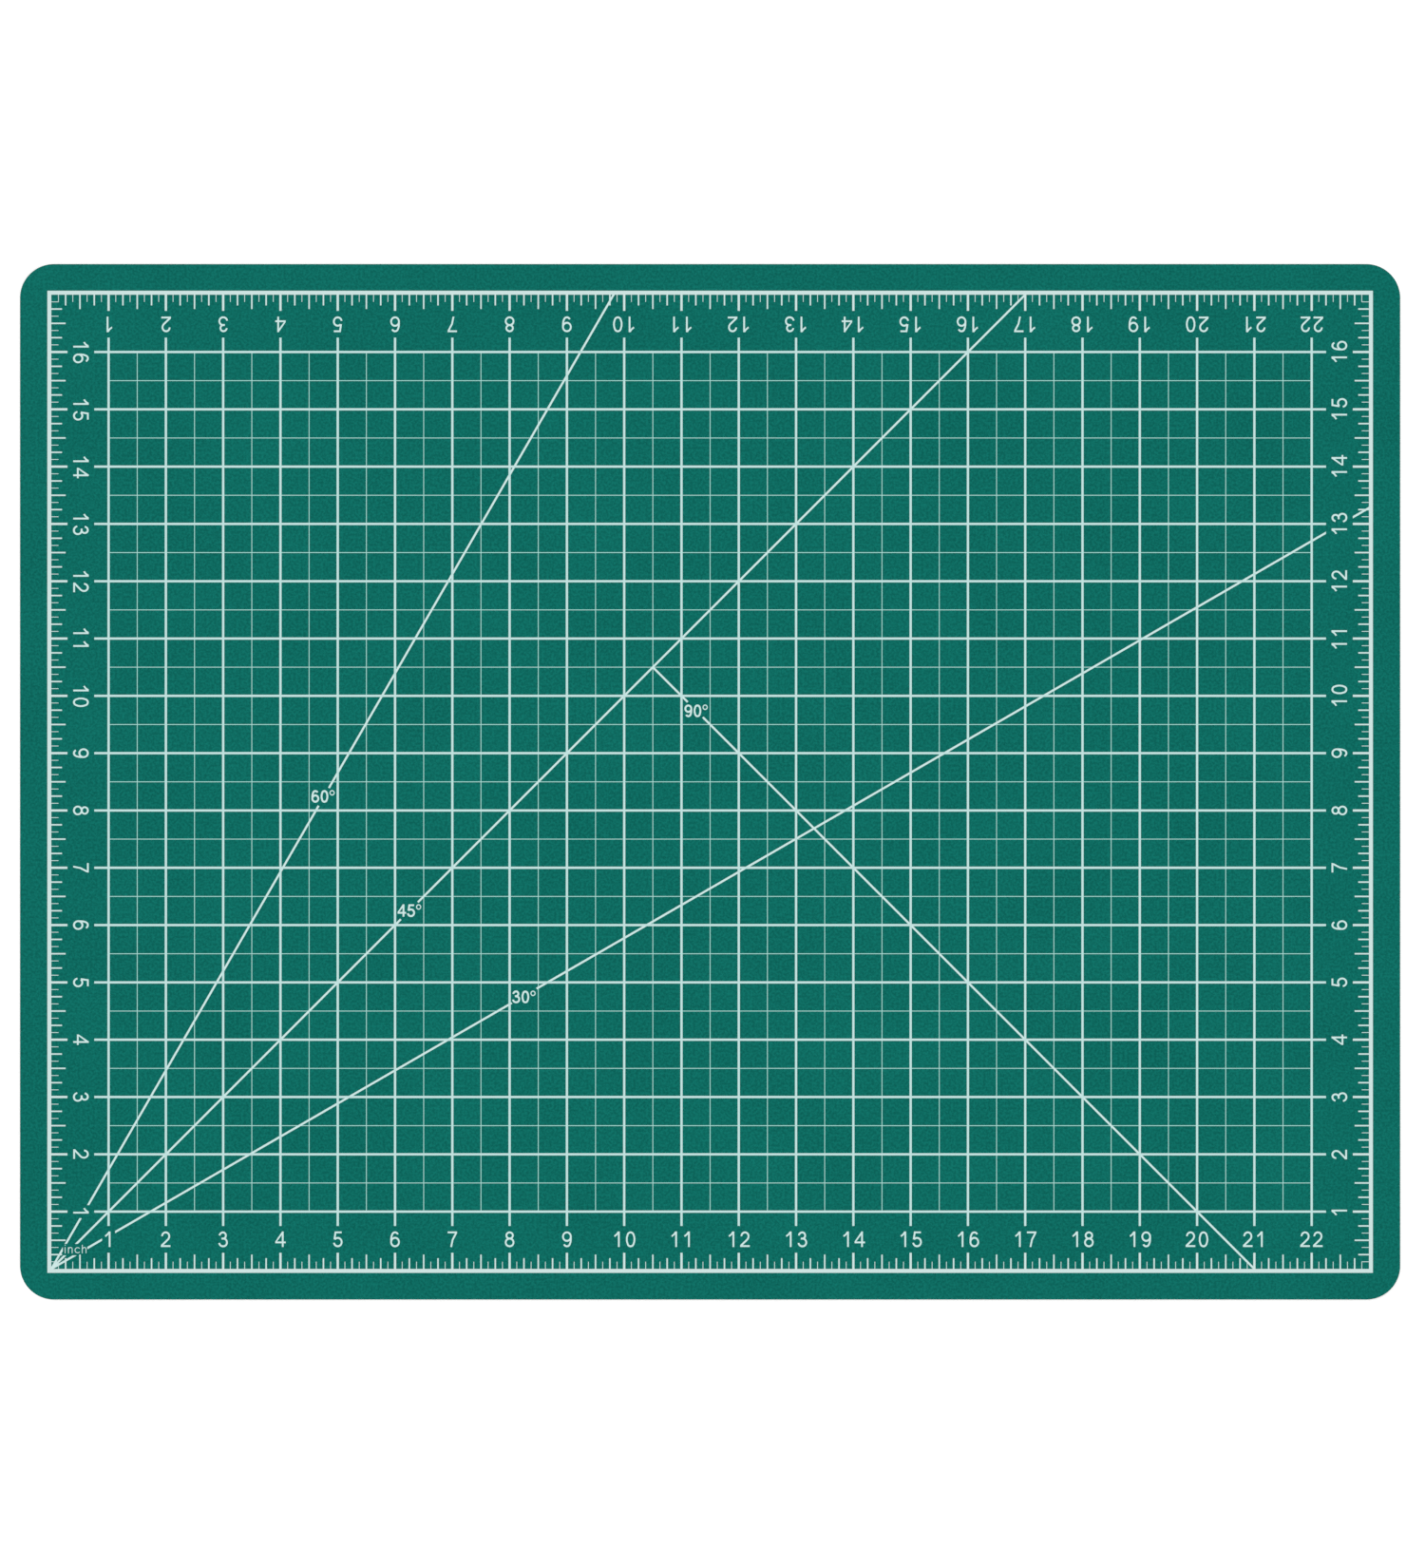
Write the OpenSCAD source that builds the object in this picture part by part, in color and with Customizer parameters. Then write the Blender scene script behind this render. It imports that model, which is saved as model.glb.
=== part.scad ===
// Self-healing cutting mat: a stiff five-ply sheet with a ruled print on both faces.
// The origin lies under the middle of the mat, on the plane that it rests on.
// +X runs along the long near edge, +Y to the far edge and +Z up through the green face.

/* [Sheet] */
// Width of the mat, left to right
mat_w = 612; // [300:1:920]
// Depth of the mat, near edge to far edge
mat_d = 459; // [220:1:620]
// Radius of the four corners
corner_r = 15; // [4:0.5:28]

/* [Plies] */
// Thickness of each printed skin
skin_t = 0.5; // [0.3:0.05:1]
// Thickness of each soft ply that closes up after a cut
healing_t = 0.6; // [0.3:0.05:1.5]
// Thickness of the stiff sheet in the middle
core_t = 0.975; // [0.5:0.025:2]

/* [Scales] */
// One division of the scales, an inch
inch = 25.4; // [20:0.1:40]
// Least bare margin between the border line and the edge of the mat
margin = 10; // [6:0.5:30]
// Width of the border line that the ticks stand on
border_w = 1.75; // [0.8:0.05:3]
// Length of the ticks at eighths of an inch
eighth_tick = 3.2; // [1.5:0.05:5]
// Length of the ticks at quarters
quarter_tick = 4.75; // [2:0.05:6]
// Length of the ticks at halves
half_tick = 6.35; // [3:0.05:8]
// Length of the ticks at whole inches
inch_tick = 7.15; // [4:0.05:10]

/* [Ink] */
// Thickness of the printed ink
ink_t = 0.06; // [0.02:0.01:0.1]
// Width of the bold lines: inch lines and inch ticks
bold_w = 1; // [0.6:0.05:1.6]
// Width of the medium lines: quarter and half ticks
medium_w = 0.65; // [0.4:0.05:1.2]
// Width of the fine lines: half-inch lines and eighth ticks
fine_w = 0.3; // [0.2:0.05:0.8]
// How far the inch lines run past the outer lines of the grid
overrun = 6.35; // [2:0.05:10]

/* [Angle guides] */
// Width of the slanted guide lines
guide_w = 0.9; // [0.5:0.05:2]
// Angle of the steep guide, from the near edge
steep_angle = 60; // [50:1:75]
// Angle of the middle guide, which the square guide stands on
middle_angle = 45; // [40:1:48]
// Angle of the shallow guide
shallow_angle = 30; // [15:1:36]
// Whole inches from the right end of the near scale to the foot of the square guide
square_foot = 2; // [1:1:6]
// Middle of the break for the steep guide's label, along the guide from the corner
steep_label_at = 241.6; // [200:0.1:300]
// Length of that break
steep_label_gap = 9.1; // [6:0.1:16]
// Middle of the break for the middle guide's label
middle_label_at = 224.5; // [200:0.1:300]
// Length of that break
middle_label_gap = 10.7; // [6:0.1:16]
// Middle of the break for the shallow guide's label
shallow_label_at = 242.1; // [200:0.1:300]
// Length of that break
shallow_label_gap = 12.7; // [6:0.1:16]
// Middle of the break for the square guide's label, from the middle guide
square_label_at = 26.6; // [20:0.1:60]
// Length of that break
square_label_gap = 9.5; // [6:0.1:16]

/* [Places kept clear of the guides] */
// Width kept clear along the scale for a number of one digit
one_digit_w = 5.8; // [4:0.1:8]
// Width kept clear for a number of two digits
two_digit_w = 11.4; // [8:0.1:14]
// Width kept clear for the name of the unit, in the near left corner
unit_name_w = 10.9; // [8:0.1:14]
// Height kept clear for the name of the unit
unit_name_h = 5.1; // [3:0.1:8]
// Distance of that place from the left border
unit_name_x = 5.1; // [3:0.1:8]
// Distance of that place from the near border
unit_name_y = 6; // [3:0.1:8]

/* [Hidden] */
$fn = 96;
GREEN = "#0f6b61";
GREEN_SOFT = "#2f7f76";
CORE = "#d8d4c8";
BLACK_SOFT = "#34363a";
BLACK = "#1c1d20";
INK = "#d0e1de";

// Whole inches that the border holds, and the size of the field inside it
inches_w = floor((mat_w - 2 * (margin + border_w)) / inch);
inches_d = floor((mat_d - 2 * (margin + border_w)) / inch);
field_w = inches_w * inch;
field_d = inches_d * inch;

// Heights of the faces of the plies, upwards from the ink that the mat rests on
black_skin_z = ink_t;
black_healing_z = black_skin_z + skin_t;
core_z = black_healing_z + healing_t;
green_healing_z = core_z + core_t;
green_skin_z = green_healing_z + healing_t;
green_face_z = green_skin_z + skin_t;

// Lines up the mat are printed first and lines across it over them, half the ink each
pass_t = ink_t / 2;

// Ticks on one inch of scale
TICKS_PER_INCH = 8;
tick_pitch = inch / TICKS_PER_INCH;
longest_tick = max(eighth_tick, quarter_tick, half_tick, inch_tick);

function is_whole(i) = i % TICKS_PER_INCH == 0;
function is_half(i) = i % (TICKS_PER_INCH / 2) == 0;
function is_quarter(i) = i % (TICKS_PER_INCH / 4) == 0;
function tick_length(i) =
    is_whole(i) ? inch_tick : is_half(i) ? half_tick : is_quarter(i) ? quarter_tick : eighth_tick;
function tick_width(i) = is_whole(i) ? bold_w : is_quarter(i) ? medium_w : fine_w;

// Length and distance from the middle of side k: 0 near, 1 right, 2 far and 3 left
function side_inches(k) = k % 2 == 0 ? inches_w : inches_d;
function side_distance(k) = (k % 2 == 0 ? field_d : field_w) / 2;

// The number at the nth inch along side k: every scale counts from the near left corner
function printed_number(k, n) = k < 2 ? n : side_inches(k) - n;

// The square guide leaves the middle guide where its foot lands on the near scale
square_run = (inches_w - square_foot) * inch;
square_start = min(square_run * cos(middle_angle), field_d / sin(middle_angle) - inch);

// A sheet of the mat's outline with rounded corners, from height z upwards
module ply(z, thickness) {
    straight_w = mat_w - 2 * corner_r;
    straight_d = mat_d - 2 * corner_r;
    translate([0, 0, z]) linear_extrude(thickness) {
        square([mat_w, straight_d], center = true);
        square([straight_w, mat_d], center = true);
        for (x = [-1, 1], y = [-1, 1])
            translate([x * straight_w / 2, y * straight_d / 2]) circle(corner_r);
    }
}

// Ink drawn as seen on its own face: on the green face, or turned over onto the black one
module on_green() translate([0, 0, green_face_z]) children();
module on_black() translate([0, 0, black_skin_z]) rotate([0, 180, 0]) children();

// Films of ink: the full thickness, or the first or second pass of the ruling
module full_film() color(INK) linear_extrude(ink_t) children();
module first_pass() color(INK) linear_extrude(pass_t) children();
module second_pass() color(INK) translate([0, 0, pass_t]) linear_extrude(pass_t) children();

// Bars of ink centred on a line: up the mat at x, or across it at y
module bar_up(x, width, y0, y1) translate([x - width / 2, y0]) square([width, y1 - y0]);
module bar_across(y, width, x0, x1) translate([x0, y - width / 2]) square([x1 - x0, width]);

// Puts what is drawn along +X from a scale's start, inwards along +Y, on side k
module on_side(k) {
    rotate(90 * k)
        translate([-side_inches(k) * inch / 2, -side_distance(k)]) children();
}

// One side of the border with its ticks, cut to a mitre at both ends
module scale_line(k) {
    length = side_inches(k) * inch;
    on_side(k) intersection() {
        union() {
            translate([-border_w, -border_w]) square([length + 2 * border_w, border_w]);
            for (i = [1 : side_inches(k) * TICKS_PER_INCH - 1])
                bar_up(i * tick_pitch, tick_width(i), -border_w, tick_length(i));
        }
        polygon([
            [-border_w, -border_w], [length + border_w, -border_w],
            [length - longest_tick, longest_tick], [longest_tick, longest_tick]
        ]);
    }
}

// The inch lines and, between them, the half-inch lines
module inch_lines_up() {
    reach = field_d / 2 - inch + overrun;
    for (n = [1 : inches_w - 1]) bar_up(n * inch - field_w / 2, bold_w, -reach, reach);
}

module inch_lines_across() {
    reach = field_w / 2 - inch + overrun;
    for (n = [1 : inches_d - 1]) bar_across(n * inch - field_d / 2, bold_w, -reach, reach);
}

module half_lines_up() {
    reach = field_d / 2 - inch;
    difference() {
        for (n = [1 : inches_w - 2])
            bar_up((n + 0.5) * inch - field_w / 2, fine_w, -reach, reach);
        guide_fan();
    }
}

module half_lines_across() {
    reach = field_w / 2 - inch;
    difference() {
        for (n = [1 : inches_d - 2])
            bar_across((n + 0.5) * inch - field_d / 2, fine_w, -reach, reach);
        guide_fan();
    }
}

// One guide along +X from its start, broken for its label
module guide(label_at, label_gap) {
    longest = field_w + field_d;
    bar_across(0, guide_w, 0, label_at - label_gap / 2);
    bar_across(0, guide_w, label_at + label_gap / 2, longest);
}

// Three guides from the near left corner and one square to the middle guide
module guide_fan() {
    intersection() {
        square([field_w, field_d], center = true);
        translate([-field_w / 2, -field_d / 2]) {
            rotate(steep_angle) guide(steep_label_at, steep_label_gap);
            rotate(middle_angle) {
                guide(middle_label_at, middle_label_gap);
                translate([square_start, 0]) rotate(-90) guide(square_label_at, square_label_gap);
            }
            rotate(shallow_angle) guide(shallow_label_at, shallow_label_gap);
        }
    }
}

// Places in the print that hold the numbers and the name of the unit
module number_places() {
    for (k = [0 : 3], n = [1 : side_inches(k) - 1]) {
        width = printed_number(k, n) < 10 ? one_digit_w : two_digit_w;
        on_side(k) bar_up(n * inch, width, inch_tick, inch - overrun);
    }
    translate([unit_name_x - field_w / 2, unit_name_y - field_d / 2])
        square([unit_name_w, unit_name_h]);
}

// The guides as printed, between the other lines and clear of the numbers
module angle_guides() {
    difference() {
        guide_fan();
        inch_lines_up();
        inch_lines_across();
        number_places();
        for (k = [0 : 3]) scale_line(k);
    }
}

// The five plies, from the green face down
module green_skin() color(GREEN) ply(green_skin_z, skin_t);
module green_healing_ply() color(GREEN_SOFT) ply(green_healing_z, healing_t);
module core_sheet() color(CORE) ply(core_z, core_t);
module black_healing_ply() color(BLACK_SOFT) ply(black_healing_z, healing_t);
module black_skin() color(BLACK) ply(black_skin_z, skin_t);

// The print on the green face
module green_scale_near() on_green() full_film() scale_line(0);
module green_scale_right() on_green() full_film() scale_line(1);
module green_scale_far() on_green() full_film() scale_line(2);
module green_scale_left() on_green() full_film() scale_line(3);
module green_inch_lines_up() on_green() first_pass() inch_lines_up();
module green_inch_lines_across() on_green() second_pass() inch_lines_across();
module green_half_lines_up() on_green() first_pass() half_lines_up();
module green_half_lines_across() on_green() second_pass() half_lines_across();
module green_angle_guides() on_green() full_film() angle_guides();

// The same print on the black face
module black_scale_near() on_black() full_film() scale_line(0);
module black_scale_right() on_black() full_film() scale_line(1);
module black_scale_far() on_black() full_film() scale_line(2);
module black_scale_left() on_black() full_film() scale_line(3);
module black_inch_lines_up() on_black() first_pass() inch_lines_up();
module black_inch_lines_across() on_black() second_pass() inch_lines_across();
module black_half_lines_up() on_black() first_pass() half_lines_up();
module black_half_lines_across() on_black() second_pass() half_lines_across();
module black_angle_guides() on_black() full_film() angle_guides();

green_skin();
green_healing_ply();
core_sheet();
black_healing_ply();
black_skin();

green_scale_near();
green_scale_right();
green_scale_far();
green_scale_left();
green_inch_lines_up();
green_inch_lines_across();
green_half_lines_up();
green_half_lines_across();
green_angle_guides();

black_scale_near();
black_scale_right();
black_scale_far();
black_scale_left();
black_inch_lines_up();
black_inch_lines_across();
black_half_lines_up();
black_half_lines_across();
black_angle_guides();
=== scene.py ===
"""Looks of a self-healing cutting mat.

The five bonded plies are remade with the small rounds of a die-cut edge, the faces get their
pebbled vinyl and the ruling its screen ink. The numbers, the angle labels and the name of the
unit are drawn with a pen of constant width, on both faces. A plain studio stands around the mat.
"""
import logging
import math
from dataclasses import dataclass, field
from enum import Enum
from typing import ClassVar

import bmesh
import bpy
from mathutils import Matrix, Vector


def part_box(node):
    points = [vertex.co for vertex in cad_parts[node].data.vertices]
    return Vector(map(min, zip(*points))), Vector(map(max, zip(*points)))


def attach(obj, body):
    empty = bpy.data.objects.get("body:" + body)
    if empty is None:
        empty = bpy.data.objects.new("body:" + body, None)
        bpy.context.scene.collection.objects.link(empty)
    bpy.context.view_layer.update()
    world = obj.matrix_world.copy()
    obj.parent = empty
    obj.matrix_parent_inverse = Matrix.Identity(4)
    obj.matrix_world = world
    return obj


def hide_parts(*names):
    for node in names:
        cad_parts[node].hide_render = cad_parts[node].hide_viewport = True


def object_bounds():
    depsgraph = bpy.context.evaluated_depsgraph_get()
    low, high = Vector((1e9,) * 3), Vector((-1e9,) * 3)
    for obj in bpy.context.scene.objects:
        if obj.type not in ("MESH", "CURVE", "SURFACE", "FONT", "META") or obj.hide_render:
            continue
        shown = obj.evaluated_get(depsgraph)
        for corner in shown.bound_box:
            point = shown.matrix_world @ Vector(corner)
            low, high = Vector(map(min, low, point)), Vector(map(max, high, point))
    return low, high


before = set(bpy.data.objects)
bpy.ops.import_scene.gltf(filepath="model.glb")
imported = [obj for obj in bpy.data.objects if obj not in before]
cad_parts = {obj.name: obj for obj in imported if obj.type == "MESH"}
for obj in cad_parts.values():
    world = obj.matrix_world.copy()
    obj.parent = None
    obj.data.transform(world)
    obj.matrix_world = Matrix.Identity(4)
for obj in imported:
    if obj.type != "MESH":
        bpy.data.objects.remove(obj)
CAD_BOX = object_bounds()

LOG = logging.getLogger("cutting_mat")
MM = 0.001
INCH = 25.4 * MM
BODY = "root"

# Bands of a noise, whose values gather around a half
NOISE_CORE = (0.35, 0.65)
NOISE_BULK = (0.3, 0.7)
NOISE_SPAN = (0.2, 0.8)

Rgb = tuple[float, float, float]
Shades = tuple[Rgb, Rgb]
Point = tuple[float, float]
Shape = bmesh.types.BMesh
Element = bmesh.types.BMVert | bmesh.types.BMEdge | bmesh.types.BMFace
Material = bpy.types.Material
Socket = bpy.types.NodeSocket


class Face(Enum):
    """The two work faces of the mat, by the colour of their skin."""

    GREEN = "green"
    BLACK = "black"


class Side(Enum):
    """The four sides of a face as it is read, in quarter turns from the near one."""

    NEAR = 0
    RIGHT = 1
    FAR = 2
    LEFT = 3


class Pass(Enum):
    """The passes of the print, each with its own ink, by what their nodes are called."""

    SCALE = "scale"
    GUIDE = "angle"
    INCH = "inch"
    HALF = "half"

    @property
    def ink_name(self) -> str:
        """What the ink of the pass is called."""
        return f"{self.name.lower()}_ink"


class Shader:
    """A node material in the making, with its main shader and its Object coordinates."""

    def __init__(self, name: str) -> None:
        """Starts a material.

        Args:
            name: the material's name.
        """
        self.material = bpy.data.materials.new(name)
        self.material.use_nodes = True
        self.tree = self.material.node_tree
        self.surface = self.tree.nodes["Principled BSDF"]
        self.place = self.tree.nodes.new("ShaderNodeTexCoord").outputs["Object"]

    def wire(self, source: Socket, target: Socket) -> None:
        """Links two sockets."""
        self.tree.links.new(source, target)

    def stretched(self, scale: tuple[float, float, float]) -> Socket:
        """Stretches the Object coordinates along the axes.

        Args:
            scale: the factor on each axis.

        Returns:
            The socket that gives the stretched place.
        """
        mapping = self.tree.nodes.new("ShaderNodeMapping")
        mapping.inputs["Scale"].default_value = scale
        self.wire(self.place, mapping.inputs["Vector"])
        return mapping.outputs["Vector"]

    def noise(self, size: float, detail: float, place: Socket | None = None) -> Socket:
        """Makes soft random grain.

        Args:
            size: the width of one grain, in metres.
            detail: how many finer octaves the grain has.
            place: the coordinates to read, or None for the plain Object coordinates.

        Returns:
            The socket that gives the grain, from 0 to 1.
        """
        node = self.tree.nodes.new("ShaderNodeTexNoise")
        node.inputs["Scale"].default_value = 1 / size
        node.inputs["Detail"].default_value = detail
        self.wire(place or self.place, node.inputs["Vector"])
        return node.outputs["Fac"]

    def pebbles(self, size: float, reach: float, softness: float = 0.6) -> Socket:
        """Makes rounded pebbles, as a pressing roller leaves them.

        Args:
            size: the width of one pebble, in metres.
            reach: where the slope of a pebble ends, in pebbles from its top.
            softness: how far the pebbles run into each other, from 0 to 1.

        Returns:
            The socket that gives the height, 1 on the tops and 0 where the slopes end.
        """
        node = self.tree.nodes.new("ShaderNodeTexVoronoi")
        node.feature = "SMOOTH_F1"
        node.inputs["Scale"].default_value = 1 / size
        node.inputs["Smoothness"].default_value = softness
        self.wire(self.place, node.inputs["Vector"])
        return self.spread(node.outputs["Distance"], (0.0, reach), (1.0, 0.0))

    def spread(self, source: Socket, band: Point, onto: Point) -> Socket:
        """Maps a band of values onto another one.

        Args:
            source: the socket to read.
            band: the lowest and highest value that are read.
            onto: the values that they become.

        Returns:
            The socket that gives the mapped value.
        """
        node = self.tree.nodes.new("ShaderNodeMapRange")
        node.inputs["From Min"].default_value, node.inputs["From Max"].default_value = band
        node.inputs["To Min"].default_value, node.inputs["To Max"].default_value = onto
        self.wire(source, node.inputs["Value"])
        return node.outputs["Result"]

    def added(self, first: Socket, second: Socket) -> Socket:
        """Adds two values.

        Args:
            first: one socket.
            second: the other socket.

        Returns:
            The socket that gives their sum.
        """
        node = self.tree.nodes.new("ShaderNodeMath")
        node.operation = "ADD"
        self.wire(first, node.inputs[0])
        self.wire(second, node.inputs[1])
        return node.outputs["Value"]

    def colour(self, share: Socket, first: Rgb, second: Rgb) -> None:
        """Colours the surface with a mix of two colours.

        Args:
            share: the socket that gives the share of the second colour.
            first: the colour at a share of 0.
            second: the colour at a share of 1.
        """
        node = self.tree.nodes.new("ShaderNodeMix")
        node.data_type = "RGBA"
        colours = [socket for socket in node.inputs if socket.type == "RGBA"]
        colours[0].default_value = (*first, 1.0)
        colours[1].default_value = (*second, 1.0)
        self.wire(share, node.inputs["Factor"])
        mixed = next(socket for socket in node.outputs if socket.type == "RGBA")
        self.wire(mixed, self.surface.inputs["Base Color"])

    def matte(self, grain: Socket, shine: Point, specular: float) -> None:
        """Sets how the surface shines.

        Args:
            grain: the noise that the roughness follows.
            shine: the least and greatest roughness.
            specular: the level of the shine.
        """
        self.wire(self.spread(grain, NOISE_BULK, shine), self.surface.inputs["Roughness"])
        self.surface.inputs["Specular IOR Level"].default_value = specular

    def emboss(self, height: Socket, relief: float, strength: float) -> None:
        """Presses a relief into the surface.

        Args:
            height: the socket that gives the height, from 0 to 1.
            relief: the height in metres that 1 stands for.
            strength: how much of the relief shows.
        """
        node = self.tree.nodes.new("ShaderNodeBump")
        node.inputs["Strength"].default_value = strength
        node.inputs["Distance"].default_value = relief
        self.wire(height, node.inputs["Height"])
        self.wire(node.outputs["Normal"], self.surface.inputs["Normal"])


@dataclass(frozen=True)
class PebbledVinyl:
    """Matte vinyl pressed with a fine pebble, so that it doesn't glare.

    Attributes:
        name: the material's name.
        low: the darkest colour of the speckle.
        high: its lightest colour.
        pebble: the width of one pebble.
        pebble_reach: where the slope of a pebble ends, in pebbles from its top.
        fleck: the width of the flecks in the colour.
        fleck_share: their share of the way from the darkest to the lightest colour.
        grain: the width of the finest grain.
        grain_share: its share of that way.
        cloud: the width of the faint clouds in the colour.
        cloud_share: their share of that way.
        relief: the height of the pebble.
        grain_relief: the height of the grain, as a share of the pebble's.
        pressing: how much of the relief shows.
        shine: the least and greatest roughness.
        specular: the level of the shine.
    """

    name: str
    low: Rgb
    high: Rgb
    pebble: float = 0.85 * MM
    pebble_reach: float = 0.75
    fleck: float = 1.1 * MM
    fleck_share: float = 0.5
    grain: float = 0.4 * MM
    grain_share: float = 0.35
    cloud: float = 45 * MM
    cloud_share: float = 0.15
    relief: float = 0.03 * MM
    grain_relief: float = 0.35
    pressing: float = 0.6
    shine: Point = (0.55, 0.68)
    specular: float = 0.038

    def material(self) -> Material:
        """Makes the vinyl's node material.

        Returns:
            The material.
        """
        shader = Shader(self.name)
        grain = shader.noise(self.grain, detail=1.0)
        fleck = shader.noise(self.fleck, detail=1.0)
        cloud = shader.noise(self.cloud, detail=3.0)
        speckle = shader.added(
            shader.spread(grain, NOISE_CORE, (0.0, self.grain_share)),
            shader.spread(fleck, NOISE_CORE, (0.0, self.fleck_share)),
        )
        drift = shader.spread(cloud, NOISE_BULK, (0.0, self.cloud_share))
        shader.colour(shader.added(speckle, drift), self.low, self.high)
        shader.matte(grain, self.shine, self.specular)
        tops = shader.pebbles(self.pebble, self.pebble_reach)
        fine = shader.spread(grain, NOISE_SPAN, (0.0, self.grain_relief))
        shader.emboss(shader.added(tops, fine), self.relief, self.pressing)
        return shader.material


@dataclass(frozen=True)
class ScreenInk:
    """Off-white ink screened onto pebbled vinyl, a little thinner on the tops of the pebble.

    Attributes:
        name: the material's name.
        full: the colour where the film is whole.
        thin: the colour where the vinyl shows through.
        pebble: the width of one pebble of the vinyl below.
        pebble_reach: where the slope of a pebble ends, in pebbles from its top.
        worn_tops: the heights on a pebble between which the film gets thin.
        tops_share: how thin it gets there.
        grain: the width of the mesh marks in the film.
        worn_grain: the band of the marks in which the film gets thin.
        grain_share: how thin it gets there.
        relief: the height of the pebble that still shows.
        pressing: how much of the relief shows.
        shine: the least and greatest roughness.
        specular: the level of the shine.
    """

    name: str
    full: Rgb
    thin: Rgb
    pebble: float = 0.85 * MM
    pebble_reach: float = 0.6
    worn_tops: Point = (0.7, 1.0)
    tops_share: float = 0.3
    grain: float = 0.3 * MM
    worn_grain: Point = (0.45, 0.75)
    grain_share: float = 0.7
    relief: float = 0.02 * MM
    pressing: float = 0.5
    shine: Point = (0.5, 0.62)
    specular: float = 0.1

    def material(self) -> Material:
        """Makes the ink's node material.

        Returns:
            The material.
        """
        shader = Shader(self.name)
        grain = shader.noise(self.grain, detail=2.0)
        tops = shader.pebbles(self.pebble, self.pebble_reach)
        worn = shader.added(
            shader.spread(grain, self.worn_grain, (0.0, self.grain_share)),
            shader.spread(tops, self.worn_tops, (0.0, self.tops_share)),
        )
        shader.colour(worn, self.full, self.thin)
        shader.matte(grain, self.shine, self.specular)
        shader.emboss(tops, self.relief, self.pressing)
        return shader.material


@dataclass(frozen=True)
class CutVinyl:
    """The edge of a vinyl ply that a die has cut, with fine drag marks down it.

    Attributes:
        name: the material's name.
        dull: the colour in the drag marks.
        fresh: the colour between them.
        mark: the width of one drag mark.
        stretch: how many times longer than wide a mark is.
        relief: the depth of a mark.
        pressing: how much of the relief shows.
        shine: the least and greatest roughness.
        specular: the level of the shine.
    """

    name: str
    dull: Rgb
    fresh: Rgb
    mark: float = 0.35 * MM
    stretch: float = 12.0
    relief: float = 0.02 * MM
    pressing: float = 0.7
    shine: Point = (0.5, 0.75)
    specular: float = 0.2

    def material(self) -> Material:
        """Makes the cut edge's node material.

        Returns:
            The material.
        """
        shader = Shader(self.name)
        down = shader.stretched((1.0, 1.0, 1 / self.stretch))
        marks = shader.noise(self.mark, detail=3.0, place=down)
        share = shader.spread(marks, NOISE_BULK, (0.0, 1.0))
        shader.colour(share, self.dull, self.fresh)
        shader.matte(marks, self.shine, self.specular)
        shader.emboss(marks, self.relief, self.pressing)
        return shader.material


@dataclass(frozen=True)
class Finishes:
    """The mat's materials, made once.

    Attributes:
        skins: the vinyl of each face.
        soft: the healing ply under each face.
        inks: the ink on each face, by its pass.
        core: the stiff sheet in the middle.
        SKIN_SHADES: the darkest and lightest speckle of each face's vinyl.
        SOFT_SHADES: each healing ply in its drag marks and between them.
        CORE_SHADES: the core in its drag marks and between them.
        INK_SHADES: each ink where the film is whole and where it is thin.
    """

    skins: dict[Face, Material]
    soft: dict[Face, Material]
    inks: dict[Face, dict[Pass, Material]]
    core: Material

    SKIN_SHADES: ClassVar[dict[Face, Shades]] = {
        Face.GREEN: ((0.0000, 0.0955, 0.0765), (0.0040, 0.1885, 0.1515)),
        Face.BLACK: ((0.0075, 0.0080, 0.0088), (0.0125, 0.0132, 0.0142)),
    }
    SOFT_SHADES: ClassVar[dict[Face, Shades]] = {
        Face.GREEN: ((0.018, 0.150, 0.125), (0.042, 0.225, 0.190)),
        Face.BLACK: ((0.024, 0.025, 0.028), (0.044, 0.046, 0.050)),
    }
    CORE_SHADES: ClassVar[Shades] = ((0.58, 0.55, 0.47), (0.72, 0.69, 0.61))
    INK_SHADES: ClassVar[dict[Face, dict[Pass, Shades]]] = {
        Face.GREEN: {
            Pass.SCALE: ((0.612, 0.772, 0.752), (0.518, 0.695, 0.672)),
            Pass.GUIDE: ((0.615, 0.810, 0.787), (0.525, 0.730, 0.705)),
            Pass.INCH: ((0.540, 0.758, 0.738), (0.458, 0.686, 0.662)),
            Pass.HALF: ((0.450, 0.785, 0.730), (0.380, 0.715, 0.660)),
        },
        Face.BLACK: {
            Pass.SCALE: ((0.650, 0.775, 0.755), (0.555, 0.660, 0.645)),
            Pass.GUIDE: ((0.630, 0.750, 0.730), (0.540, 0.640, 0.625)),
            Pass.INCH: ((0.600, 0.710, 0.690), (0.510, 0.605, 0.590)),
            Pass.HALF: ((0.420, 0.500, 0.490), (0.350, 0.420, 0.410)),
        },
    }

    @classmethod
    def mixed(cls) -> "Finishes":
        """Makes the materials in their colours.

        Returns:
            The materials.
        """
        return cls(
            skins={
                face: PebbledVinyl(f"{face.value}_vinyl", *shades).material()
                for face, shades in cls.SKIN_SHADES.items()
            },
            soft={
                face: CutVinyl(f"{face.value}_soft_vinyl", *shades).material()
                for face, shades in cls.SOFT_SHADES.items()
            },
            inks={
                face: {
                    screened: ScreenInk(f"{face.value}_{screened.ink_name}", *shades).material()
                    for screened, shades in passes.items()
                }
                for face, passes in cls.INK_SHADES.items()
            },
            core=CutVinyl("core_vinyl", *cls.CORE_SHADES).material(),
        )


def mesh_from(shape: Shape, name: str) -> bpy.types.Mesh:
    """Makes a mesh of a finished shape.

    Args:
        shape: the shape, which is used up.
        name: the name of the mesh.

    Returns:
        The mesh.
    """
    mesh = bpy.data.meshes.new(name)
    shape.to_mesh(mesh)
    shape.free()
    return mesh


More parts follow.
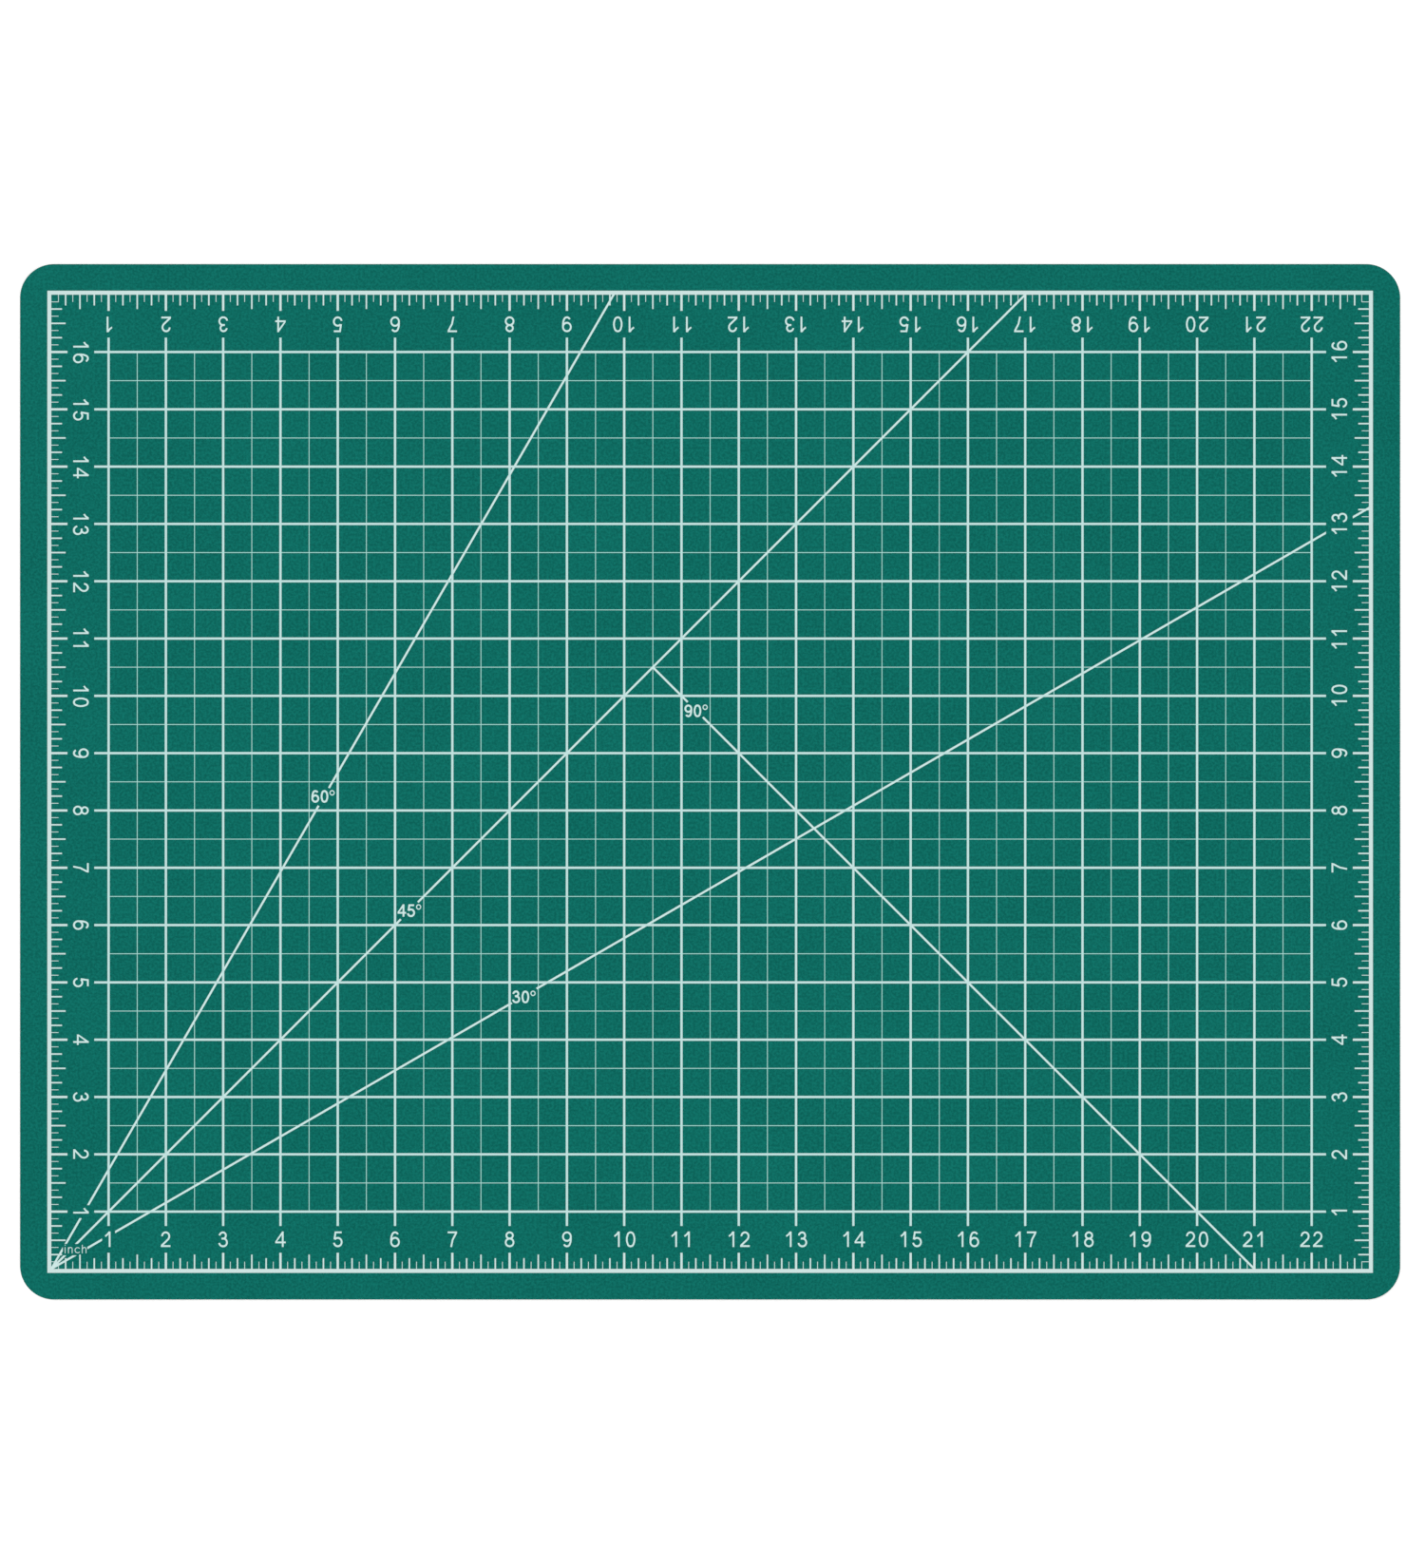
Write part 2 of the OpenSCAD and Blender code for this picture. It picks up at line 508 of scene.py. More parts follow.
def put_in_scene(name: str, data: bpy.types.ID) -> bpy.types.Object:
    """Puts a new object in the scene.

    Args:
        name: its name.
        data: its mesh, light or camera.

    Returns:
        The object.
    """
    item = bpy.data.objects.new(name, data)
    bpy.context.scene.collection.objects.link(item)
    return item


def new_piece(name: str, shape: Shape, material: Material) -> bpy.types.Object:
    """Turns a finished shape into a piece of the mat that rides on its body.

    Args:
        name: the piece's name.
        shape: its mesh, in place, which is used up.
        material: its finish.

    Returns:
        The new object.
    """
    mesh = mesh_from(shape, name)
    mesh.materials.append(material)
    piece = put_in_scene(name, mesh)
    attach(piece, BODY)
    LOG.info("%s: %d faces", name, len(mesh.polygons))
    return piece


def raised(shape: Shape, height: float) -> None:
    """Thickens a flat shape upwards into a closed solid.

    Args:
        shape: the flat shape, which is changed.
        height: the thickness.
    """
    grown = bmesh.ops.extrude_face_region(shape, geom=shape.faces[:])
    lifted = [item for item in grown["geom"] if isinstance(item, bmesh.types.BMVert)]
    bmesh.ops.translate(shape, verts=lifted, vec=(0.0, 0.0, height))
    bmesh.ops.recalc_face_normals(shape, faces=shape.faces[:])


@dataclass(frozen=True)
class Ply:
    """One sheet of the laminate.

    Attributes:
        node: the CAD node that it stands for.
        name: the piece's name.
        slot: the material slot of the record; not used.
        finish: its material.
        upper_round: the round of its upper edge.
        lower_round: the round of its lower edge.
    """

    node: str
    name: str
    slot: str
    finish: Material
    upper_round: float
    lower_round: float


@dataclass
class Laminate:
    """The five bonded plies, with the rounds that a cutting die and soft vinyl give their edges.

    Attributes:
        finishes: the mat's materials.
        corner_radius: the radius of the mat's four corners.
        corner_steps: straight stretches in one corner.
        face_round: the round that the die rolls onto the outer edge of a skin.
        seam_round: the small round where a stiff ply meets the next.
        soft_round: the fuller round of a soft ply, which bulges between its neighbours.
        round_steps: straight stretches in one round.
    """

    finishes: Finishes
    corner_radius: float = 15 * MM
    corner_steps: int = 28
    face_round: float = 0.28 * MM
    seam_round: float = 0.05 * MM
    soft_round: float = 0.18 * MM
    round_steps: int = 4

    def plies(self) -> list[Ply]:
        """Lists the plies.

        Returns:
            The plies from the green face down.
        """
        face, seam, full = self.face_round, self.seam_round, self.soft_round
        skins, soft, core = self.finishes.skins, self.finishes.soft, self.finishes.core
        return [
            Ply("green_skin", "green_skin_sheet", "green_pvc", skins[Face.GREEN], face, seam),
            Ply(
                "green_healing_ply", "green_healing_sheet", "green_soft_pvc",
                soft[Face.GREEN], full, full,
            ),
            Ply("core_sheet", "core_board", "core_pvc", core, seam, seam),
            Ply(
                "black_healing_ply", "black_healing_sheet", "black_soft_pvc",
                soft[Face.BLACK], full, full,
            ),
            Ply("black_skin", "black_skin_sheet", "black_pvc", skins[Face.BLACK], seam, face),
        ]

    def slab(self, low: Vector, high: Vector) -> Shape:
        """Cuts a sheet with round corners to fill a box.

        Args:
            low: the box's lowest corner.
            high: the box's highest corner.

        Returns:
            The sheet, in place.
        """
        size = high - low
        middle = (low + high) / 2
        shape = bmesh.new()
        bmesh.ops.create_grid(shape, x_segments=1, y_segments=1, size=0.5)
        bmesh.ops.scale(shape, verts=shape.verts[:], vec=(size.x, size.y, 1.0))
        bmesh.ops.bevel(
            shape, geom=shape.verts[:], offset=self.corner_radius, offset_type="OFFSET",
            segments=self.corner_steps, profile=0.5, affect="VERTICES", material=-1,
        )
        bmesh.ops.translate(shape, verts=shape.verts[:], vec=(middle.x, middle.y, low.z))
        raised(shape, size.z)
        return shape

    def rolled(self, shape: Shape, height: float, radius: float) -> None:
        """Rounds the rim of a sheet at one height.

        Args:
            shape: the sheet, which is changed.
            height: the height of the rim.
            radius: the radius of the round.
        """
        near = 0.01 * MM
        rim = [
            edge for edge in shape.edges
            if all(abs(corner.co.z - height) < near for corner in edge.verts)
        ]
        bmesh.ops.bevel(
            shape, geom=rim, offset=radius, offset_type="OFFSET", segments=self.round_steps,
            profile=0.5, affect="EDGES", material=-1,
        )

    def build(self) -> None:
        """Makes the plies and puts them in the place of their CAD nodes."""
        for ply in self.plies():
            low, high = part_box(ply.node)
            shape = self.slab(low, high)
            self.rolled(shape, high.z, ply.upper_round)
            self.rolled(shape, low.z, ply.lower_round)
            piece = new_piece(ply.name, shape, ply.finish)
            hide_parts(ply.node)


class Trail:
    """A stroke of ink that a straight nib leaves as it is led along lines and bends.

    Attributes:
        ARC_STEP: the degrees of a bend that one straight stretch takes.
        TOUCH: how near the end of a stroke is to its start when the two are one.
    """

    ARC_STEP: ClassVar[float] = 15.0
    TOUCH: ClassVar[float] = 1e-4

    def __init__(self, start: Point, heading: float, width: float) -> None:
        """Sets the nib down.

        Args:
            start: where the middle of the nib is.
            heading: the direction that it will move in, in degrees from the baseline.
            width: the width of the nib.
        """
        self.shape = bmesh.new()
        self.heading = heading
        middle = Vector((*start, 0.0))
        half = self.way(90.0) * width / 2
        ends = [self.shape.verts.new(middle - half), self.shape.verts.new(middle + half)]
        self.nib = self.shape.edges.new(ends)

    def way(self, turn: float = 0.0) -> Vector:
        """Points the way that the nib moves, or so many degrees to the left of it."""
        angle = math.radians(self.heading + turn)
        return Vector((math.cos(angle), math.sin(angle), 0.0))

    def line(self, length: float) -> "Trail":
        """Leads the nib straight on.

        Args:
            length: how far it goes.

        Returns:
            The same stroke.
        """
        grown = bmesh.ops.extrude_edge_only(self.shape, edges=[self.nib])["geom"]
        ends = [item for item in grown if isinstance(item, bmesh.types.BMVert)]
        bmesh.ops.translate(self.shape, verts=ends, vec=self.way() * length)
        self.nib = next(item for item in grown if isinstance(item, bmesh.types.BMEdge))
        return self

    def bend(self, radius: float, degrees: float) -> "Trail":
        """Leads the nib round an arc.

        Args:
            radius: the radius of the arc at the middle of the nib.
            degrees: how far the heading turns, positive to the left.

        Returns:
            The same stroke.
        """
        middle = (self.nib.verts[0].co + self.nib.verts[1].co) / 2
        centre = middle + self.way(90.0) * math.copysign(radius, degrees)
        swept = bmesh.ops.spin(
            self.shape, geom=[*self.nib.verts, self.nib], cent=centre, axis=(0.0, 0.0, 1.0),
            dvec=(0.0, 0.0, 0.0), angle=math.radians(degrees),
            steps=max(1, round(abs(degrees) / self.ARC_STEP)), use_merge=False,
        )
        self.nib = next(item for item in swept["geom_last"] if isinstance(item, bmesh.types.BMEdge))
        self.heading += degrees
        return self

    def solid(self) -> Shape:
        """Closes the stroke where it meets its own start and makes it one unit thick.

        Returns:
            The solid.
        """
        bmesh.ops.remove_doubles(self.shape, verts=self.shape.verts[:], dist=self.TOUCH)
        raised(self.shape, 1.0)
        return self.shape


def plate(*corners: Point) -> Shape:
    """Makes a flat shape with straight sides, one unit thick.

    Args:
        corners: its corners in order.

    Returns:
        The solid.
    """
    shape = bmesh.new()
    shape.faces.new([shape.verts.new((*corner, 0.0)) for corner in corners])
    raised(shape, 1.0)
    return shape


def block(left: float, bottom: float, right: float, top: float) -> Shape:
    """Makes an upright rectangle, one unit thick, between the four sides given."""
    return plate((left, bottom), (right, bottom), (right, top), (left, top))


@dataclass(frozen=True)
class Oval:
    """An oval of four arcs that meet smoothly.

    Attributes:
        middle: its centre.
        half_width: half its width, along the middle of the stroke.
        half_height: half its height.
        tightness: the radius of the end arcs as a share of the half width, under 1 if the oval is
            upright and over 1 if it is wide.
    """

    middle: Point
    half_width: float
    half_height: float
    tightness: float = 0.8

    @property
    def end_radius(self) -> float:
        """The radius of the arcs at the top and bottom."""
        return self.tightness * self.half_width

    @property
    def side_radius(self) -> float:
        """The radius of the arcs at the sides.

        Returns:
            The radius with which they meet the end arcs smoothly.
        """
        rise = self.half_height - self.end_radius
        spare = self.half_width - self.end_radius
        return (self.half_width**2 + rise**2 - self.end_radius**2) / (2 * spare)

    @property
    def side_angle(self) -> float:
        """The half angle of a side arc, in degrees."""
        rise = abs(self.half_height - self.end_radius)
        return math.degrees(math.atan2(rise, abs(self.side_radius - self.half_width)))

    def ring(self, width: float) -> Trail:
        """Draws the whole oval.

        Args:
            width: the width of the nib.

        Returns:
            The closed stroke.
        """
        start = (self.middle[0] + self.half_width, self.middle[1])
        trail = Trail(start, 90.0, width)
        side, end = self.side_angle, 180 - 2 * self.side_angle
        trail.bend(self.side_radius, side).bend(self.end_radius, end)
        trail.bend(self.side_radius, 2 * side).bend(self.end_radius, end)
        return trail.bend(self.side_radius, side)

    def hook(self, width: float, opening: float) -> Trail:
        """Draws the left side and the top, up to an open end on the right.

        Args:
            width: the width of the nib.
            opening: the heading at the open end, in degrees short of straight down.

        Returns:
            The open stroke.
        """
        start = (self.middle[0] - self.half_width, self.middle[1])
        trail = Trail(start, 90.0, width)
        trail.bend(self.side_radius, -self.side_angle)
        return trail.bend(self.end_radius, self.side_angle - 180 + opening)


def corner_places(item: Element) -> list[tuple[float, ...]]:
    """The places of the corners of an edge or a face, or of a corner itself, in order."""
    corners = [item] if isinstance(item, bmesh.types.BMVert) else item.verts
    return sorted(corner.co[:] for corner in corners)


def put_in_order(shape: Shape) -> None:
    """Lists the corners, edges and faces of a shape by where they are.

    A union lists them differently from run to run, and what is merged after it depends on that.

    Args:
        shape: the shape, which is changed.
    """
    for items in (shape.verts, shape.edges, shape.faces):
        for rank, item in enumerate(sorted(items, key=corner_places)):
            item.index = rank
        items.sort()


def joined(strokes: list[Shape], name: str) -> bpy.types.Mesh:
    """Joins overlapping strokes into one closed solid, without slivers where they meet.

    Args:
        strokes: the strokes, which are used up.
        name: the name of the mesh.

    Returns:
        The joined mesh.
    """
    sliver = 1e-3
    parts = [put_in_scene(name, mesh_from(stroke, name)) for stroke in strokes]
    for part in parts[1:]:
        union = parts[0].modifiers.new("union", "BOOLEAN")
        union.operation = "UNION"
        union.solver = "EXACT"
        union.object = part
    graph = bpy.context.evaluated_depsgraph_get()
    whole = bpy.data.meshes.new_from_object(parts[0].evaluated_get(graph))
    for part in parts:
        spent = part.data
        bpy.data.objects.remove(part)
        bpy.data.meshes.remove(spent)
    shape = bmesh.new()
    shape.from_mesh(whole)
    put_in_order(shape)
    bmesh.ops.remove_doubles(shape, verts=shape.verts[:], dist=sliver)
    bmesh.ops.dissolve_degenerate(shape, edges=shape.edges[:], dist=sliver)
    shape.to_mesh(whole)
    shape.free()
    return whole


@dataclass
class Lettering:
    """Plain sans-serif figures and a few letters, drawn with a pen one capital high.

    Attributes:
        weight: the width of the stroke, as a share of the height of a figure.
        tracking: the space added to each letter, half before it and half after.
        breadth: how wide the letters come out, beside the widths that they are drawn with.
        bar_share: the thickness of level bars, as a share of the stroke.
        fine_share: the thickness of the flag of the 1 and the bar of the 4, as a share of it.
        tops: the height that round figures reach.
        dips: the depth that round figures reach.
        round_reach: from the middle of the nought to its side.
        figure_pitch: the distance from one figure to the next.
        small_height: the height of small letters.
        stem_left: the left side of the stem of a small letter.
        case: the letters cast so far.
        OTHER_PITCHES: the letters that aren't as far from the next as a figure is.
    """

    weight: float
    tracking: float = 0.0
    breadth: float = 0.95
    bar_share: float = 0.95
    fine_share: float = 0.92
    tops: float = 1.004
    dips: float = -0.017
    round_reach: float = 0.329
    figure_pitch: float = 0.777
    small_height: float = 0.724
    stem_left: float = 0.091
    case: dict[str, bpy.types.Mesh] = field(default_factory=dict)

    OTHER_PITCHES: ClassVar[dict[str, float]] = {"i": 0.310, "c": 0.698, "°": 0.5}

    @property
    def high(self) -> float:
        """The middle of the stroke at the top of a round figure."""
        return self.tops - self.weight / 2

    @property
    def low(self) -> float:
        """The middle of the stroke at the foot of a round figure."""
        return self.dips + self.weight / 2

    @property
    def centre(self) -> Point:
        """The middle of a figure."""
        return (self.figure_pitch / 2, (self.tops + self.dips) / 2)

    def oval(self) -> Oval:
        """The oval of the nought, which the six and the nine share."""
        return Oval(self.centre, self.round_reach - self.weight / 2, (self.high - self.low) / 2)

    def strokes(self, letter: str) -> list[Shape]:
        """Draws the strokes of one letter.

        Args:
            letter: a figure but the 9, the degree sign, or a letter of the unit's name.

        Returns:
            Its strokes as separate solids.
        """
        drawn = {
            "0": self.nought, "1": self.one, "2": self.two, "3": self.three, "4": self.four,
            "5": self.five, "6": self.six, "7": self.seven, "8": self.eight, "°": self.degree,
            "i": self.small_i, "n": self.small_n, "c": self.small_c, "h": self.small_h,
        }
        return drawn[letter]()

    def top_bar(self, left: float, right: float) -> Shape:
        """Draws a level bar at the top of a figure."""
        return block(left, 1.0 - self.weight * self.bar_share, right, 1.0)

    def nought(self) -> list[Shape]:
        """Draws a 0."""
        return [self.oval().ring(self.weight).solid()]

    def one(self) -> list[Shape]:
        """Draws a 1.

        Returns:
            A stem and a bent flag.
        """
        stem_right = 0.52
        flag_tip, flag_heading = (0.152, 0.69), 28.0
        flag_radius, flag_turn = 0.70, 34.0
        stem = block(stem_right - self.weight, 0.0, stem_right, 1.0)
        flag = Trail(flag_tip, flag_heading, self.weight * self.fine_share)
        return [stem, flag.bend(flag_radius, flag_turn).solid()]

    def two(self) -> list[Shape]:
        """Draws a 2.

        Returns:
            A bowl that runs down into a slant, and a foot.
        """
        bowl_left, bowl_radius = 0.128, 0.2475
        neck_radius, neck_turn, slant_length = 0.30, -48.0, 0.592
        foot_left, foot_right = 0.042, 0.703
        bowl = Trail((bowl_left, self.high - bowl_radius), 90.0, self.weight)
        bowl.bend(bowl_radius, -180.0).bend(neck_radius, neck_turn).line(slant_length)
        return [bowl.solid(), block(foot_left, 0.0, foot_right, self.weight * self.bar_share)]

    def three(self) -> list[Shape]:
        """Draws a 3.

        Returns:
            Two bowls that meet in a short bar.
        """
        waist, hook_turn = 0.5415, 80.0
        upper_tip, upper_hook_radius, upper_bar = (0.138, 0.743), 0.24, 0.10
        lower_left, lower_bar, lower_flat, lower_hook_radius = 0.33, 0.072, 0.033, 0.26
        upper = Trail(upper_tip, hook_turn, self.weight).bend(upper_hook_radius, -hook_turn)
        upper.bend((self.high - waist) / 2, -180.0).line(upper_bar)
        lower = Trail((lower_left, waist), 0.0, self.weight).line(lower_bar)
        lower.bend((waist - self.low) / 2, -180.0).line(lower_flat)
        lower.bend(lower_hook_radius, -hook_turn)
        return [upper.solid(), lower.solid()]

    def four(self) -> list[Shape]:
        """Draws a 4.

        Returns:
            A stem, a bar and a slant.
        """
        left, right, stem_right, bar_low = 0.030, 0.750, 0.606, 0.24
        stem_left = stem_right - self.weight
        bar_high = bar_low + self.weight * self.fine_share
        slant = self.weight * self.bar_share
        shoulder_drop, shoulder_inset = slant * 0.6, slant * 0.2
        return [
            block(stem_left, 0.0, stem_right, 1.0),
            block(left, bar_low, right, bar_high),
            plate(
                (left, bar_high), (left + slant, bar_high), (stem_right, 1.0 - shoulder_drop),
                (stem_right, 1.0), (stem_left + shoulder_inset, 1.0),
            ),
        ]

    def five(self) -> list[Shape]:
        """Draws a 5.

        Returns:
            A bar, a leaning stem and a bowl.
        """
        bar_left, bar_right = 0.183, 0.655
        stem_left, stem_low, stem_step, stem_share = 0.098, 0.487, 0.505, 1.05
        bowl_tip, bowl_heading = (bar_left, 0.489), 50.0
        bowl_radius, bowl_turn = 0.27, -310.0
        stem = plate(
            (stem_left, stem_low), (stem_left + self.weight * stem_share, stem_step),
            (bar_left + self.weight, 1.0), (bar_left, 1.0),
        )
        bowl = Trail(bowl_tip, bowl_heading, self.weight).bend(bowl_radius, bowl_turn)
        return [self.top_bar(bar_left, bar_right), stem, bowl.solid()]

    def six(self) -> list[Shape]:
        """Draws a 6.

        Returns:
            A round bowl, and the nought's left side over it in two strokes.
        """
        bowl_reach, bowl_top, bowl_tightness = 0.332, 0.655, 0.93
        opening, side_length = 25.0, 0.18
        middle, half = self.centre[0], self.weight / 2
        top = bowl_top - half
        bowl = Oval(
            (middle, (top + self.low) / 2), bowl_reach - half, (top - self.low) / 2, bowl_tightness
        )
        back = self.oval().hook(self.weight, opening)
        side = Trail((middle - self.oval().half_width, self.centre[1]), 270.0, self.weight)
        return [bowl.ring(self.weight).solid(), back.solid(), side.line(side_length).solid()]

    def seven(self) -> list[Shape]:
        """Draws a 7.

        Returns:
            A bar and a stem that bends down from it.
        """
        bar_left, bar_right = 0.066, 0.713
        stem_top, stem_heading = (0.653, 0.90), 232.0
        stem_radius, stem_turn = 1.649, 34.0
        stem = Trail(stem_top, stem_heading, self.weight).bend(stem_radius, stem_turn)
        return [self.top_bar(bar_left, bar_right), stem.solid()]

    def eight(self) -> list[Shape]:
        """Draws an 8.

        Returns:
            A smaller ring on a larger one.
        """
        waist, tightness = 0.543, 1.06
        upper_reach, lower_reach = 0.285, 0.330
        middle, half = self.centre[0], self.weight / 2
        upper, lower = (self.high - waist) / 2, (waist - self.low) / 2
        rings = [
            Oval((middle, waist + upper), upper_reach - half, upper, tightness),
            Oval((middle, waist - lower), lower_reach - half, lower, tightness),
        ]
        return [ring.ring(self.weight).solid() for ring in rings]

    def degree(self) -> list[Shape]:
        """Draws a degree sign.

        Returns:
            A small ring at the height of the figures.
        """
        middle, reach, ring_share = 0.265, 0.22, 0.55
        width = self.weight * ring_share
        radius = reach - width / 2
        ring = Trail((middle + radius, self.tops - reach), 90.0, width)
        return [ring.bend(radius, 360.0).solid()]

    def arch(self) -> Shape:
        """Draws the arch of an n or an h.

        Returns:
            The stroke from the right foot to the stem.
        """
        right, radius, overshoot = 0.579, 0.2, 0.013
        straight = self.small_height + overshoot - self.weight / 2 - radius
        return Trail((right, 0.0), 90.0, self.weight).line(straight).bend(radius, 180.0).solid()

    def stem(self, top: float, foot: float = 0.0) -> Shape:
        """Draws the stem of a small letter, or a piece of it."""
        return block(self.stem_left, foot, self.stem_left + self.weight, top)

    def small_i(self) -> list[Shape]:
        """Draws an i.

        Returns:
            A stem and a dot.
        """
        dot_height = self.weight * 1.1
        return [self.stem(self.small_height), self.stem(1.0, 1.0 - dot_height)]

    def small_n(self) -> list[Shape]:
        """Draws an n."""
        return [self.stem(self.small_height), self.arch()]

    def small_c(self) -> list[Shape]:
        """Draws a c.

        Returns:
            A ring with a gap on the right.
        """
        middle, radius, gap = 0.367, 0.305, 40.0
        start = (
            middle + radius * math.cos(math.radians(gap)),
            self.small_height / 2 + radius * math.sin(math.radians(gap)),
        )
        return [Trail(start, 90.0 + gap, self.weight).bend(radius, 360.0 - 2 * gap).solid()]

    def small_h(self) -> list[Shape]:
        """Draws an h."""
        return [self.stem(1.0), self.arch()]

    def pitch(self, letter: str) -> float:
        """How far a letter moves the next one on."""
        drawn = self.OTHER_PITCHES.get(letter, self.figure_pitch)
        return drawn * self.breadth + self.tracking

    def width(self, text: str) -> float:
        """How long a text is."""
        return sum(self.pitch(letter) for letter in text)

    def turned(self, letter: str) -> bpy.types.Mesh:
        """Turns a copy of a letter upside down.

        Args:
            letter: the letter.

        Returns:
            The turned mesh.
        """
        middle = Matrix.Translation((*self.centre, 0.0))
        mesh = self.cast(letter).copy()
        mesh.transform(middle @ Matrix.Rotation(math.pi, 4, "Z") @ middle.inverted())
        return mesh

    def cast(self, letter: str) -> bpy.types.Mesh:
        """Joins the strokes of a letter into one solid, once. A 9 is a 6 upside down.

        Args:
            letter: the letter.

        Returns:
            Its mesh, one capital high and one unit thick.
        """
        if letter not in self.case:
            if letter == "9":
                self.case[letter] = self.turned("6")
            else:
                self.case[letter] = joined(self.strokes(letter), f"letter_{ord(letter)}")
        return self.case[letter]

    def set_text(self, shape: Shape, text: str, place: Matrix) -> None:
        """Sets a line of text.

        Args:
            shape: the mesh that takes the letters.
            text: the text.
            place: turns letter sizes into the mat's frame.
        """
        narrowed = Matrix.Diagonal((self.breadth, 1.0, 1.0, 1.0))
        along = self.tracking / 2
        for letter in text:
            known = len(shape.verts)
            shape.from_mesh(self.cast(letter))
            shape.verts.ensure_lookup_table()
            spot = place @ Matrix.Translation((along, 0.0, 0.0)) @ narrowed
            bmesh.ops.transform(shape, verts=shape.verts[known:], matrix=spot)
            along += self.pitch(letter)


@dataclass(frozen=True)
class AngleLabel:
    """The label in the break of one angle guide.

    Attributes:
        text: the angle.
        left: the left edge of its first figure, in inches from the left border.
        foot: its baseline, in inches from the near border.
    """

    text: str
    left: float
    foot: float


@dataclass
class PrintedFace:
    """The print on one face: the ruling's ink, the numbers, the angle labels and the unit's name.

    Attributes:
        face: which face it is.
        inks: its ink, by the pass of the print.
        figures: the lettering of the numbers.
        bold: the lettering of the angle labels.
        light: the lettering of the unit's name.
        number_height: the height of the numbers.
        number_foot: from the border to the foot of the numbers.
        label_height: the height of the angle labels.
        label_bearing: the bare space left of a label's first figure, in label heights.
        unit_height: the height of the unit's tallest letter.
        unit_place: the left end and the baseline of the unit's name, from the near left corner.
        ruled: the size of the ruled field and the thickness of the ink, as the frame has them.
        UNIT: the name of the unit.
        LABELS: the labels of the guides.
    """

    face: Face
    inks: dict[Pass, Material]
    figures: Lettering
    bold: Lettering
    light: Lettering
    number_height: float = 0.2702 * INCH
    number_foot: float = 0.3832 * INCH
    label_height: float = 0.2155 * INCH
    label_bearing: float = 0.055
    unit_height: float = 0.148 * INCH
    unit_place: Point = (0.215 * INCH, 0.273 * INCH)
    ruled: Vector = field(init=False)

    UNIT: ClassVar[str] = "inch"
    LABELS: ClassVar[tuple[AngleLabel, ...]] = (
        AngleLabel("60°", left=4.541, foot=8.139),
        AngleLabel("45°", left=6.051, foot=6.147),
        AngleLabel("30°", left=8.048, foot=4.640),
        AngleLabel("90°", left=11.052, foot=9.632),
    )

    def __post_init__(self) -> None:
        """Reads the box of the guides, which reach from border to border."""
        low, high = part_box(f"{self.face.value}_angle_guides")
        self.ruled = high - low

    @property
    def slot(self) -> str:
        """The record's material slot for this face's ink."""
        return f"{self.face.value}_side_ink"

    def lie_on_face(self) -> Matrix:
        """Turns a drawing with its middle at the origin onto the face, as it is read there.

        Returns:
            The turn and the move.
        """
        low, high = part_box(f"{self.face.value}_skin")
        if self.face is Face.GREEN:
            return Matrix.Translation((0.0, 0.0, high.z))
        return Matrix.Translation((0.0, 0.0, low.z)) @ Matrix.Rotation(math.pi, 4, "Y")

    def letters(self, height: float) -> Matrix:
        """Scales letters of one capital and one unit thick to their height and the ink."""
        return Matrix.Diagonal((height, height, self.ruled.z, 1.0))

    def dress_ruling(self) -> None:
        """Gives the CAD nodes of the ruling their ink."""
        for screened, ink in self.inks.items():
            start = f"{self.face.value}_{screened.value}_"
            for name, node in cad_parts.items():
                if name.startswith(start):
                    for held in node.material_slots:
                        held.material = ink
                    LOG.info("%s: inked", name)

    def number_row(self, side: Side) -> None:
        """Sets the numbers of one scale, which count from the near left corner.

        Args:
            side: the side that the scale is on.
        """
        length, depth = self.ruled.xy if side in (Side.NEAR, Side.FAR) else self.ruled.yx
        forward = side in (Side.NEAR, Side.RIGHT)
        turn = Matrix.Rotation(math.radians(90 * side.value), 4, "Z")
        shape = bmesh.new()
        for number in range(1, round(length / INCH)):
            text = str(number)
            along = number * INCH if forward else length - number * INCH
            left = along - length / 2 - self.figures.width(text) * self.number_height / 2
            spot = Matrix.Translation((left, self.number_foot - depth / 2, 0.0))
            place = self.lie_on_face() @ turn @ spot @ self.letters(self.number_height)
            self.figures.set_text(shape, text, place)
        name = f"{self.face.value}_numbers_{side.name.lower()}"
        new_piece(name, shape, self.inks[Pass.GUIDE])

    def from_corner(self, x: float, y: float) -> Matrix:
        """The place at a distance from the near left corner of the ruled field."""
        spot = Matrix.Translation((x - self.ruled.x / 2, y - self.ruled.y / 2, 0.0))
        return self.lie_on_face() @ spot

    def angle_labels(self) -> None:
        """Sets the angles in the breaks of the guides."""
        shape = bmesh.new()
        for label in self.LABELS:
            left = label.left * INCH - self.label_bearing * self.label_height
            place = self.from_corner(left, label.foot * INCH) @ self.letters(self.label_height)
            self.bold.set_text(shape, label.text, place)
        new_piece(f"{self.face.value}_angle_labels", shape, self.inks[Pass.GUIDE])

    def unit_name(self) -> None:
        """Sets the name of the unit in the near left corner."""
        shape = bmesh.new()
        place = self.from_corner(*self.unit_place) @ self.letters(self.unit_height)
        self.light.set_text(shape, self.UNIT, place)
        new_piece(f"{self.face.value}_unit_name", shape, self.inks[Pass.SCALE])

    def build(self) -> None:
        """Inks the ruling and sets all the text."""
        self.dress_ruling()
        for side in Side:
            self.number_row(side)
        self.angle_labels()
        self.unit_name()


